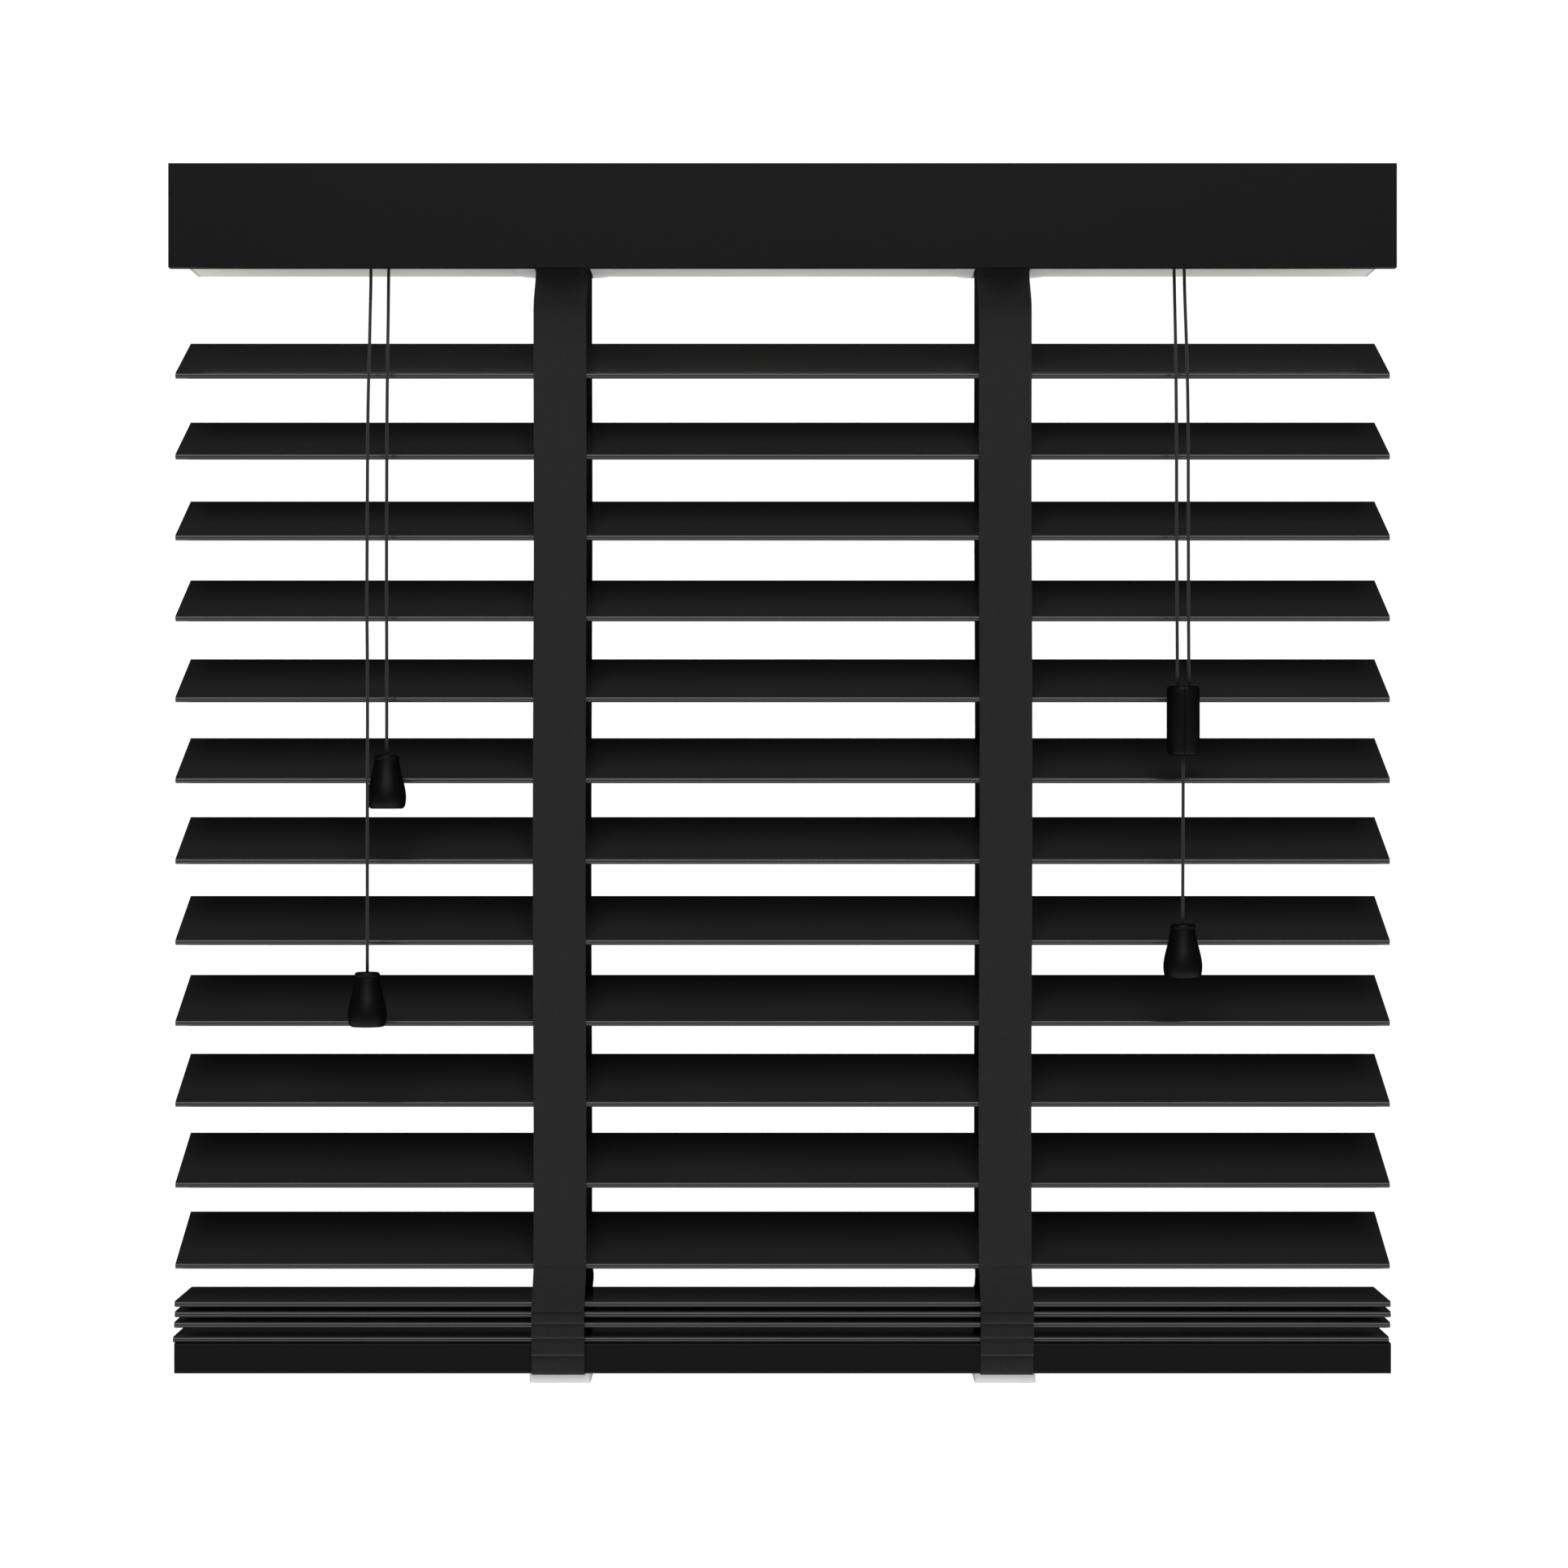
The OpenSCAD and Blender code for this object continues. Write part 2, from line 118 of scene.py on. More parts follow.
# What hangs in the tapes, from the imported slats.
SLAT_LOW, SLAT_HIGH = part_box("slat_01")
LAST_LOW, LAST_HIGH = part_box("slat_12")
SLAT_Z = (SLAT_LOW.z + SLAT_HIGH.z) / 2
LAST_Z = (LAST_LOW.z + LAST_HIGH.z) / 2
PITCH = (SLAT_Z - LAST_Z) / (HANGING - 1)
SLAT_T = 3 * MM
EDGE_U = 23.5 * MM
TILT = math.radians(25)
EDGE_RISE = EDGE_U * math.sin(TILT)
REAR_LOW, REAR_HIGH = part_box("rear_tapes")
FRONT_LOW, FRONT_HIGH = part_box("front_tapes")
RAIL_LOW, RAIL_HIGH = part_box("bottom_rail")
TAPE_X = (FRONT_HIGH.x - FRONT_LOW.x) / 2 - 13 * MM
BAND_Y = (REAR_LOW.y + REAR_HIGH.y) / 2
REAR_SHIFT = 0.3 * MM
RUNG_HALF = EDGE_U + 0.7 * MM
GATHERED_RUNG_HALF = 23.4 * MM
CORNER_RADIUS = 4 * MM

# Where the slack folds begin, in millimetres.
FRONT_FOLDS_Z = -563.2
REAR_FOLDS_Z = -561


def millimetres(name, description, default, lowest=0.1, highest=100.0):
    return FloatProperty(
        name=name, description=description, default=default * MM, unit="LENGTH",
        min=lowest * MM, max=highest * MM, precision=5,
    )


def colour(name, description, default):
    return FloatVectorProperty(
        name=name, description=description, default=default, subtype="COLOR",
        size=3, min=0, max=1,
    )


def dimmed(base, times):
    return tuple(part * times for part in base)


def share(name, description, default):
    return FloatProperty(
        name=name, description=description, default=default, subtype="FACTOR",
        min=0, max=1,
    )


class BlindSizes(bpy.types.PropertyGroup):
    tape_width: millimetres("Tape width", "Width of the woven tape", 26)
    tape_thickness: millimetres("Tape thickness", "Thickness of the tape", 0.7)
    rung_width: millimetres("Rung width", "Width of a rung under a slat", 5)
    rung_offset: millimetres("Rung offset", "Rung to the tape's middle", 8)
    cord_diameter: millimetres("Cord diameter", "Diameter of every cord", 1.6)
    tassel_height: millimetres("Tassel height", "Height of a cord tassel", 26.4)
    tassel_radius: millimetres("Tassel radius", "Widest radius of a tassel", 9.5)
    connector_height: millimetres(
        "Connector height", "Height of the cord connector", 34)
    connector_radius: millimetres("Connector radius", "Radius of the connector", 7.9)
    seam_gap: millimetres("Seam", "Gap between the connector's halves", 0.3)


class BlindColours(bpy.types.PropertyGroup):
    lacquer: colour("Lacquer", "Black lacquer on slats and rail", (0.024, 0.024, 0.024))
    tape: colour("Tape", "Yarn of the ladder tapes", (0.0072, 0.0072, 0.0072))
    cord: colour("Cord", "Yarn of the cords", (0.006, 0.006, 0.006))
    plastic: colour("Pull plastic", "Tassels and connector", (0.0015, 0.0015, 0.0015))
    enamel: colour("Headrail enamel", "Paint of the headrail", (0.8, 0.77, 0.7))
    guide: colour("Guide plastic", "Tape guides", (0.88, 0.89, 0.83))
    slat_gloss: share("Slat roughness", "Roughness of the slats' lacquer", 0.16)
    valance_gloss: share("Valance roughness", "Roughness of the valance", 0.5)


# ---- finishes ---------------------------------------------------------------


class Value:
    """A node's output in an expression: each operator adds a Math node."""

    def __init__(self, finish, socket):
        self.finish, self.socket = finish, socket

    def maths(self, operation, *others):
        """A Math node on this value and any others."""
        return self.finish.node("ShaderNodeMath", {"operation": operation},
                                (self, *others))

    def __add__(self, other):
        return self.maths("ADD", other)

    def __sub__(self, other):
        return self.maths("SUBTRACT", other)

    def __rsub__(self, other):
        return self.finish.node("ShaderNodeMath", {"operation": "SUBTRACT"},
                                (other, self))

    def __mul__(self, other):
        return self.maths("MULTIPLY", other)

    __radd__ = __add__
    __rmul__ = __mul__


class Finish:
    """The nodes of a material or of the surroundings, which one method adds."""

    def __init__(self, name, kind="materials"):
        self.made = getattr(bpy.data, kind).new(name)
        self.made.use_nodes = True
        self.tree = self.made.node_tree
        self.shader = self.tree.nodes.get("Principled BSDF")

    def node(self, kind, settings=None, inputs=(), output=0):
        """A node of that kind: its settings, its inputs, and the output wanted."""
        made = self.tree.nodes.new(kind)
        for key, setting in (settings or {}).items():
            setattr(made, key, setting)
        pairs = inputs.items() if isinstance(inputs, dict) else enumerate(inputs)
        for key, value in pairs:
            self.plug(value, made.inputs[key])
        return Value(self, made.outputs[output])

    def plug(self, value, socket):
        """Links a value to the socket, or sets the socket's own number or colour."""
        if isinstance(value, Value):
            self.tree.links.new(value.socket, socket)
        elif isinstance(value, (tuple, list)) and len(socket.default_value) == 4:
            socket.default_value = (*value[:3], 1)
        else:
            socket.default_value = value

    def set(self, **sockets):
        """Plugs values into the shader's sockets, by their names in small letters."""
        for name, value in sockets.items():
            label = name.replace("_", " ").title().replace("Ior", "IOR")
            self.plug(value, self.shader.inputs[label])

    def weave(self):
        """How far across and along its piece a point lies, from the piece's UV map."""
        uv = self.node("ShaderNodeUVMap", {"uv_map": "weave"})
        across = self.node("ShaderNodeSeparateXYZ", inputs=[uv])
        return across, Value(self, across.socket.node.outputs["Y"])

    def noise(self, size, detail=2, scale=(1, 1, 1)):
        """Noise with features of about that size, in metres, over the whole object."""
        place = self.node("ShaderNodeMapping", inputs={
            "Vector": self.node("ShaderNodeTexCoord", output="Object"),
            "Scale": scale})
        return self.node("ShaderNodeTexNoise", inputs={
            "Vector": place, "Scale": 1 / size, "Detail": detail})

    def tint(self, base, mask, low, high):
        """The base colour, from low times it where mask is 0 to high times it at 1."""
        return self.node(
            "ShaderNodeMix", {"data_type": "RGBA"},
            {"Factor": mask, 6: dimmed(base, low), 7: dimmed(base, high)}, output=2)

    def bump(self, height, depth, under=None):
        """Relief of that depth, in metres, over another relief if one is given."""
        inputs = {"Height": height, "Distance": depth, "Strength": 1.0}
        if under is not None:
            inputs["Normal"] = under
        return self.node("ShaderNodeBump", inputs=inputs)


def lacquer(name, base, roughness, wave, specular=0.5):
    """Sprayed lacquer on wood: slight grain along the slat, orange peel and dust."""
    f = Finish(name)
    grain = f.noise(4 * MM, 3, (0.06, 1, 1))
    peel = f.noise(1.6 * MM, 2)
    ripple = f.noise(9 * MM, 3, (0.45, 1, 1))
    cloud = f.noise(60 * MM, 2)
    normal = f.bump(ripple, wave)
    normal = f.bump(peel * 0.6 + grain * 0.4, 0.012 * MM, under=normal)
    f.set(base_color=f.tint(base, cloud, 0.85, 1.15),
          roughness=roughness - 0.05 + cloud * 0.06 + peel * 0.04,
          specular_ior_level=specular, normal=normal)
    return f.made


def woven(name, base):
    """Herringbone twill: diagonal ribs that turn back at lines along the tape."""
    f = Finish(name)
    across, along = f.weave()
    # The ribs turn back every 7.4 mm across the tape.
    turn = (across - 5.6 * MM).maths("PINGPONG", 7.4 * MM)
    rib = along + turn * 2.2
    twill, thread = ((rib * (math.tau / pitch)).maths("SINE")
                     for pitch in (3.5 * MM, 0.875 * MM))
    weft = (along * (math.tau / (0.5 * MM))).maths("SINE")
    fluff = f.noise(0.5 * MM, 3)
    patch = f.noise(7 * MM, 2)
    height = twill * 0.4 + thread * 0.15 + weft * 0.1 + fluff * 0.4
    # The colour is lighter on the crowns of the ribs and the fluff and darker between them: painted
    # highlight and painted shade; the broad patches are the yarn's own uneven tone.
    mask = twill * 0.22 + fluff * 0.2 + patch * 0.3 + 0.2
    f.set(base_color=f.tint(base, mask, 0.72, 1.25),
          roughness=fluff * 0.15 + 0.72, sheen_weight=0.25, sheen_roughness=0.5,
          specular_ior_level=0.3, normal=f.bump(height, 0.12 * MM))
    return f.made


def twisted(name, base):
    """Braided cord: fine strands wound round it one way and the other."""
    f = Finish(name)
    across, along = f.weave()
    about = across * (2 * math.tau)
    wound = along * (math.tau / (1.6 * MM))
    strand = (wound + about).maths("SINE").maths(
        "MAXIMUM", (wound - about).maths("SINE"))
    fluff = f.noise(0.4 * MM, 2)
    height = strand * 0.5 + fluff * 0.5
    # The colour follows the strands' relief, from 0.3 of the yarn's colour in the grooves to twice it on the
    # crowns: painted shade and painted highlight.
    f.set(base_color=f.tint(base, height, 0.3, 2.0), roughness=0.68,
          sheen_weight=0.2, normal=f.bump(height, 0.08 * MM))
    return f.made


def moulded(name, base, roughness=0.5, grain=0.01, specular=0.4, **more):
    """Moulded plastic: fine spark texture and faint flow marks."""
    f = Finish(name)
    spark = f.noise(0.35 * MM, 2)
    flow = f.noise(12 * MM, 2, (1, 1, 0.5))
    f.set(base_color=f.tint(base, flow, 0.92, 1.08),
          roughness=spark * 0.12 + (roughness - 0.06),
          specular_ior_level=specular, normal=f.bump(spark, grain * MM), **more)
    return f.made


def metal(name, base, roughness, scale):
    """Bare or plated metal with a rolled or drawn grain."""
    f = Finish(name)
    drawn = f.noise(1.5 * MM, 4, scale)
    bloom = f.noise(8 * MM, 3)
    f.set(base_color=f.tint(base, bloom, 0.85, 1.1),
          metallic=1.0, roughness=drawn * 0.15 + bloom * 0.1 + (roughness - 0.12),
          normal=f.bump(drawn, 0.02 * MM))
    return f.made


def enamel(name, base):
    """Stoved enamel on steel sheet."""
    f = Finish(name)
    peel = f.noise(1.2 * MM, 2)
    cloud = f.noise(40 * MM, 2)
    f.set(base_color=f.tint(base, cloud, 0.97, 1.03),
          roughness=cloud * 0.08 + peel * 0.05 + 0.32,
          normal=f.bump(peel, 0.01 * MM))
    return f.made


def make_finishes(c):
    """Every finish by its slot's name, from the colours c of the panel."""
    lacquer_colour = tuple(c.lacquer)
    return {
        "slat": lacquer("slat_lacquer", lacquer_colour, c.slat_gloss, 0.06 * MM),
        # The valance and the bottom rail take the slats' lacquer dimmed to 0.12 and 0.09 of its colour:
        # painted shade on their front faces.
        "valance": lacquer("valance_lacquer_painted_shade", dimmed(lacquer_colour, 0.12),
                           c.valance_gloss, 0.02 * MM, 0.15),
        "bottom_rail": lacquer("rail_lacquer_painted_shade", dimmed(lacquer_colour, 0.09),
                               c.valance_gloss, 0.02 * MM, 0.15),
        "tape": woven("tape_herringbone", tuple(c.tape)),
        "cord": twisted("cord_braid", tuple(c.cord)),
        "tassel": moulded("pull_plastic", tuple(c.plastic), 0.4, 0.015, 0.14),
        "headrail": enamel("headrail_enamel", tuple(c.enamel)),
        "headrail_plastic": moulded("end_cap_plastic", (0.5, 0.48, 0.43)),
        "guide_plastic": moulded("guide_plastic", tuple(c.guide)),
        "white_plastic": moulded("white_acetal", (0.76, 0.76, 0.73), 0.38),
        "cream_plastic": moulded("cream_acetal", (0.7, 0.64, 0.5), 0.36),
        "black_plastic": moulded("black_nylon", (0.012, 0.012, 0.013), 0.45),
        "clear_plastic": moulded("translucent_clip", (0.8, 0.82, 0.83), 0.2,
                                 transmission_weight=0.35),
        "clip_plastic": moulded("clip_plastic", (0.92, 0.94, 0.93), 0.42),
        "steel": metal("zinc_plate", (0.56, 0.56, 0.58), 0.42, (0.1, 1, 1)),
        "brass": metal("brass_knurl", (0.66, 0.48, 0.22), 0.35, (0.2, 1, 1)),
    }


# ---- shapes -----------------------------------------------------------------


def smooth_path(points, steps=4):
    """A smooth line through the points, with that many parts between each two."""
    p = [Vector(q) for q in points]
    p = [p[0] * 2 - p[1], *p, p[-1] * 2 - p[-2]]
    line = []
    for a, b, c, d in zip(p, p[1:], p[2:], p[3:]):
        for k in range(steps):
            t = k / steps
            line.append(0.5 * (2 * b + (c - a) * t + (2 * a - 5 * b + 4 * c - d) * t**2
                               + (3 * b - a - 3 * c + d) * t**3))
    return [*line, p[-2]]


def length_of(path):
    return sum((b - a).length for a, b in zip(path, path[1:]))


def mesh_object(name, bm, finish, smooth=True):
    """Ends a mesh in an object with its finish."""
    mesh = bpy.data.meshes.new(name)
    bm.to_mesh(mesh)
    bm.free()
    made = bpy.data.objects.new(name, mesh)
    bpy.context.scene.collection.objects.link(made)
    mesh.materials.append(finish)
    if smooth:
        for face in mesh.polygons:
            face.use_smooth = True
    return made


def weave_layers(bm):
    """The layers that say how far across and along its piece a vertex lies."""
    floats = bm.verts.layers.float
    return [floats.get(name) or floats.new(name) for name in ("across", "along")]


def extrude(bm, edges):
    """Extrudes a row of edges and gives the new row's vertices and edges."""
    made = bmesh.ops.extrude_edge_only(bm, edges=edges)["geom"]
    verts = [g for g in made if isinstance(g, bmesh.types.BMVert)]
    row = [g for g in made if isinstance(g, bmesh.types.BMEdge)
           and all(v in verts for v in g.verts)]
    return verts, row


def weave_map(bm, start=0.0):
    """Gives every corner its place across and along the piece, for the weave."""
    layer = bm.loops.layers.uv.new("weave")
    across, along = weave_layers(bm)
    for face in bm.faces:
        us = [loop.vert[across] for loop in face.loops]
        seam = max(us) - min(us) > 0.5
        for loop, u in zip(face.loops, us):
            u = u + 1 if seam and u < 0.5 else u
            loop[layer].uv = (u, loop.vert[along] + start)


def strip(bm, path, width, rows):
    """A ribbon whose width lies along X, extruded from a row of edges down the path."""
    across, along = weave_layers(bm)
    verts = []
    for k in range(rows):
        u = width * k / (rows - 1)
        vert = bm.verts.new(path[0] + Vector((u - width / 2, 0, 0)))
        vert[across], vert[along] = u, 0.0
        verts.append(vert)
    edges = [bm.edges.new(pair) for pair in zip(verts, verts[1:])]
    run = 0.0
    for before, after in zip(path, path[1:]):
        run += (after - before).length
        verts, edges = extrude(bm, edges)
        bmesh.ops.translate(bm, verts=verts, vec=after - before)
        for vert in verts:
            vert[along] = run


def tube(bm, path, diameter, sides=10):
    """A round cord: a circle extruded down the path and turned with it."""
    across, along = weave_layers(bm)
    heading = (path[1] - path[0]).normalized()
    turn = Vector((0, 0, 1)).rotation_difference(heading).to_matrix().to_4x4()
    ring = bmesh.ops.create_circle(
        bm, cap_ends=True, segments=sides, radius=diameter / 2,
        matrix=Matrix.Translation(path[0]) @ turn)["verts"]
    for k, vert in enumerate(ring):
        vert[across], vert[along] = k / sides, 0.0
    edges = list({e for v in ring for e in v.link_edges})
    run = 0.0
    for k in range(1, len(path)):
        move = path[k] - path[k - 1]
        run += move.length
        after = (path[min(k + 1, len(path) - 1)] - path[k - 1]).normalized()
        ring, edges = extrude(bm, edges)
        bmesh.ops.translate(bm, verts=ring, vec=move)
        bmesh.ops.rotate(bm, cent=path[k], verts=ring,
                         matrix=heading.rotation_difference(after).to_matrix())
        heading = after
        for vert in ring:
            vert[along] = run
    bmesh.ops.contextual_create(bm, geom=edges)
    bmesh.ops.recalc_face_normals(bm, faces=bm.faces)


def ribbon_object(name, paths, body, node, thickness=None, width=None, rows=4,
                  start=0.0):
    """One woven piece down one or more paths, with real thickness.

    The weave counts from start, so that it runs on from the stretch above.
    A stretch with no body of its own is blended between two by its maker.
    """
    sizes = bpy.context.scene.blind_sizes
    bm = bmesh.new()
    for path in paths:
        strip(bm, path, width or sizes.tape_width, rows)
    weave_map(bm, start)
    made = mesh_object(name, bm, FINISHES["tape"])
    solid = made.modifiers.new("thickness", "SOLIDIFY")
    solid.thickness, solid.offset = thickness or sizes.tape_thickness, 0
    solid.use_even_offset = True
    made.modifiers.new("flat_faces", "WEIGHTED_NORMAL")
    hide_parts(node)
    if body:
        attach(made, body)
    return made


def turned(name, profile, centre, finish):
    """A turned piece: the profile of (radius, height) spun about the vertical."""
    bm = bmesh.new()
    verts = [bm.verts.new((r, 0, z)) for r, z in profile]
    edges = [bm.edges.new(pair) for pair in zip(verts, verts[1:])]
    bmesh.ops.spin(bm, geom=verts + edges, axis=(0, 0, 1), cent=(0, 0, 0),
                   steps=40, angle=math.tau, use_merge=True)
    bmesh.ops.remove_doubles(bm, verts=bm.verts, dist=1e-6)
    bmesh.ops.recalc_face_normals(bm, faces=bm.faces)
    bmesh.ops.translate(bm, verts=bm.verts, vec=centre)
    return mesh_object(name, bm, finish)


# ---- cords ------------------------------------------------------------------

# The cords' routes, as in the CAD, in millimetres.
TILT_FRONT = [(-203.2, -24, -35), (-203.2, -24, -46), (-203, -26, -58),
              (-202.7, -31, -72), (-202.2, -38, -90), (-201.8, -45, -108),
              (-201.5, -50, -126), (-201.3, -53, -146), (-201.3, -54, -170),
              (-201.5, -54, -215), (-201.2, -54, -260), (-201.3, -54, -330),
              (-201.3, -54, -395)]
TILT_REAR = [(-194.4, -24, -35), (-194.4, -24, -46), (-194.4, -25, -58),
             (-194.3, -27, -72), (-194.2, -30, -90), (-194.1, -33, -110),
             (-194, -35.2, -132), (-194, -36, -160), (-194.1, -36, -200),
             (-194, -36, -240), (-194, -36, -289.5)]
LIFT_LEFT = [(193.2, -24, -38), (193.2, -24, -46), (193.2, -26, -60),
             (193, -31, -78), (192.6, -37, -98), (192.3, -41.5, -120),
             (192.2, -43.6, -145), (192.2, -44, -175), (192.4, -44, -220),
             (192.6, -44, -256)]
LIFT_RIGHT = [(198.2, -24, -38), (198.2, -24, -46), (198.2, -26, -60),
              (198.2, -31, -78), (198.1, -37, -98), (198, -41.5, -120),
              (197.9, -43.6, -145), (197.9, -44, -175), (198, -44, -220),
              (198.2, -44, -256)]
LIFT_SINGLE = [(195.4, -44, -290), (195.35, -44, -310), (195.3, -44, -331),
               (195.2, -44, -352), (195.2, -44, -372)]


def in_metres(points):
    return [Vector(p) * MM for p in points]


def hanging_cord(name, route, body, from_rail=True):
    """A free cord down its route, from the headrail or from the connector."""
    sizes = bpy.context.scene.blind_sizes
    path = smooth_path(in_metres(route))
    bm = bmesh.new()
    tube(bm, path, sizes.cord_diameter)
    weave_map(bm)
    made = mesh_object("free_" + name, bm, FINISHES["cord"])
    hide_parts(name)
    round(length_of(path), 3)
    if from_rail:
        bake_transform(made, "headrail", body, start=path[4], end=path[-1])
    else:
        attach(made, body)


class BLIND_OT_stage(bpy.types.Operator):
    """Make the camera, the lights, the surroundings and the floor."""

    bl_idname = "blind.stage"
    bl_label = "Stage"

    def execute(self, context):
        scene = context.scene
        scene.view_settings.view_transform = "Standard"
        lens = bpy.data.cameras.new("camera")
        lens.lens, lens.sensor_width = CAMERA_LENS, 36
        camera = bpy.data.objects.new("camera", lens)
        camera.location = CAMERA_PLACE
        camera.rotation_euler = (math.radians(90), 0, 0)
        scene.collection.objects.link(camera)
        scene.camera = camera
        self.surroundings(scene)
        self.lamp(scene)
        self.floor()
        return {"FINISHED"}

    def surroundings(self, scene):
        """White where it is seen; as a light it is dim, and dimmer behind the blind."""
        sky = Finish("surroundings", "worlds")
        place = sky.node("ShaderNodeTexCoord", output="Generated")
        depth = sky.node("ShaderNodeSeparateXYZ", inputs=[place], output="Y")
        fall = sky.node("ShaderNodeMapRange", {"interpolation_type": "SMOOTHSTEP"}, {
            "Value": depth, "From Min": -0.8, "From Max": 0.5,
            "To Min": LIGHT_IN_FRONT, "To Max": LIGHT_BEHIND})
        light = sky.node("ShaderNodeBackground", inputs={"Strength": fall})
        seen = sky.node("ShaderNodeBackground", inputs={
            "Color": (1, 1, 1), "Strength": WHITE})
        looked_at = sky.node("ShaderNodeLightPath", output="Is Camera Ray")
        mix = sky.node("ShaderNodeMixShader", inputs=[looked_at, light, seen])
        sky.plug(mix, sky.tree.nodes["World Output"].inputs["Surface"])
        scene.world = sky.made

    def lamp(self, scene):
        """One large soft lamp above and in front."""
        light = bpy.data.lights.new("front_light", "AREA")
        light.size, light.energy = LAMP_SIZE, LAMP_POWER
        lamp = bpy.data.objects.new("front_light", light)
        lamp.location = LAMP_PLACE
        aim = Vector(LAMP_AIM) - Vector(LAMP_PLACE)
        lamp.rotation_euler = aim.to_track_quat("-Z", "Y").to_euler()
        scene.collection.objects.link(lamp)

    def floor(self):
        """A pale floor, well below, where its edge doesn't cross the view."""
        f = Finish("floor_paint")
        mottle = f.noise(0.6, 2)
        f.set(base_color=f.tint((0.9, 0.9, 0.9), mottle, 0.995, 1.0), roughness=0.9,
              emission_color=(1, 1, 1), emission_strength=WHITE)
        bm = bmesh.new()
        bmesh.ops.create_grid(bm, x_segments=1, y_segments=1, size=FLOOR_HALF)
        bmesh.ops.translate(bm, verts=bm.verts,
                            vec=(0, 0, CAD_BOX[0].z - FLOOR_BELOW))
        mesh_object("floor", bm, f.made, smooth=False)


class BLIND_OT_pulls(bpy.types.Operator):
    """Make the three tassels and the connector that joins the two lift cords."""

    bl_idname = "blind.pulls"
    bl_label = "Tassels and connector"

    def execute(self, context):
        sizes = context.scene.blind_sizes
        for node, route, body in (
                ("tilt_tassel_front", TILT_FRONT, "tilt_tassel_front"),
                ("tilt_tassel_rear", TILT_REAR, "tilt_tassel_rear"),
                ("lift_tassel", LIFT_SINGLE, "lift_pull")):
            self.tassel(node, Vector(route[-1]) * MM, body, sizes)
        self.connector(sizes)
        return {"FINISHED"}

    def tassel(self, node, top, body, sizes):
        """A hollow bell with a collar at its top and a rolled foot."""
        r, h = sizes.tassel_radius, sizes.tassel_height
        # Parts of the radius and of the height, up the outside and down the bore.
        outer = [(0.12, 0.96), (0.2, 1.0), (0.54, 1.0), (0.62, 0.985), (0.645, 0.955),
                 (0.645, 0.935), (0.625, 0.925), (0.635, 0.9), (0.66, 0.84),
                 (0.7, 0.76), (0.76, 0.66), (0.83, 0.56), (0.9, 0.46), (0.955, 0.37),
                 (0.99, 0.28), (1.0, 0.2), (0.985, 0.12), (0.95, 0.06), (0.89, 0.02),
                 (0.8, 0.0), (0.72, 0.004), (0.68, 0.03), (0.64, 0.3), (0.42, 0.7),
                 (0.25, 0.9), (0.12, 0.9)]
        profile = [(r * a, h * b) for a, b in [*outer, outer[0]]]
        made = turned("bell_" + node, profile, top - Vector((0, 0, h)),
                      FINISHES["tassel"])
        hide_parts(node)
        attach(made, body)

    def connector(self, sizes):
        """Two half shells that snap together round the cords, with a seam between."""
        r, h, gap = sizes.connector_radius, sizes.connector_height, sizes.seam_gap
        centre = Vector(LIFT_SINGLE[0]) * MM
        bm = bmesh.new()
        profile = [(0.01, 0.0), (0.62, 0.0), (0.86, 0.012), (0.93, 0.035), (0.93, 0.06),
                   (1.0, 0.07), (1.0, 0.93), (0.985, 0.965), (0.93, 0.988),
                   (0.85, 1.0), (0.01, 1.0)]
        for side in (LEFT, RIGHT):
            verts = [bm.verts.new((0, -a * r, b * h)) for a, b in profile]
            edges = [bm.edges.new(pair) for pair in zip(verts, verts[1:])]
            bmesh.ops.spin(bm, geom=verts + edges, axis=(0, 0, 1), cent=(0, 0, 0),
                           steps=20, angle=side * math.pi, use_merge=False)
            # Tagged points belong to the half that is already closed and moved.
            half = {v for face in bm.faces for v in face.verts
                    if v.co.x * side >= -1e-9 and not v.tag}
            rim = [e for e in bm.edges if e.is_boundary and not any(
                v.tag for v in e.verts)]
            bmesh.ops.contextual_create(bm, geom=rim)
            bmesh.ops.translate(bm, verts=list(half), vec=(side * gap / 2, 0, 0))
            for vert in bm.verts:
                vert.tag = True
        bmesh.ops.recalc_face_normals(bm, faces=bm.faces)
        bmesh.ops.translate(bm, verts=bm.verts, vec=centre)
        made = mesh_object("connector_halves", bm, FINISHES["tassel"])
        bevel = made.modifiers.new("edges", "BEVEL")
        bevel.width, bevel.segments, bevel.limit_method = 0.25 * MM, 2, "ANGLE"
        bevel.angle_limit = math.radians(50)
        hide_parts("cord_connector")
        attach(made, "lift_pull")


class BLIND_OT_cords(bpy.types.Operator):
    """Make the free cords that hang from the headrail."""

    bl_idname = "blind.cords"
    bl_label = "Free cords"

    def execute(self, context):
        for end, route in (("front", TILT_FRONT), ("rear", TILT_REAR)):
            tassel = "tilt_tassel_" + end
            hanging_cord("tilt_cord_" + end, route, tassel)
        for side, route in (("left", LIFT_LEFT), ("right", LIFT_RIGHT)):
            hanging_cord("lift_cord_" + side, route, "lift_pull")
        hanging_cord("lift_cord_single", LIFT_SINGLE, "lift_pull",
                     from_rail=False)
        return {"FINISHED"}


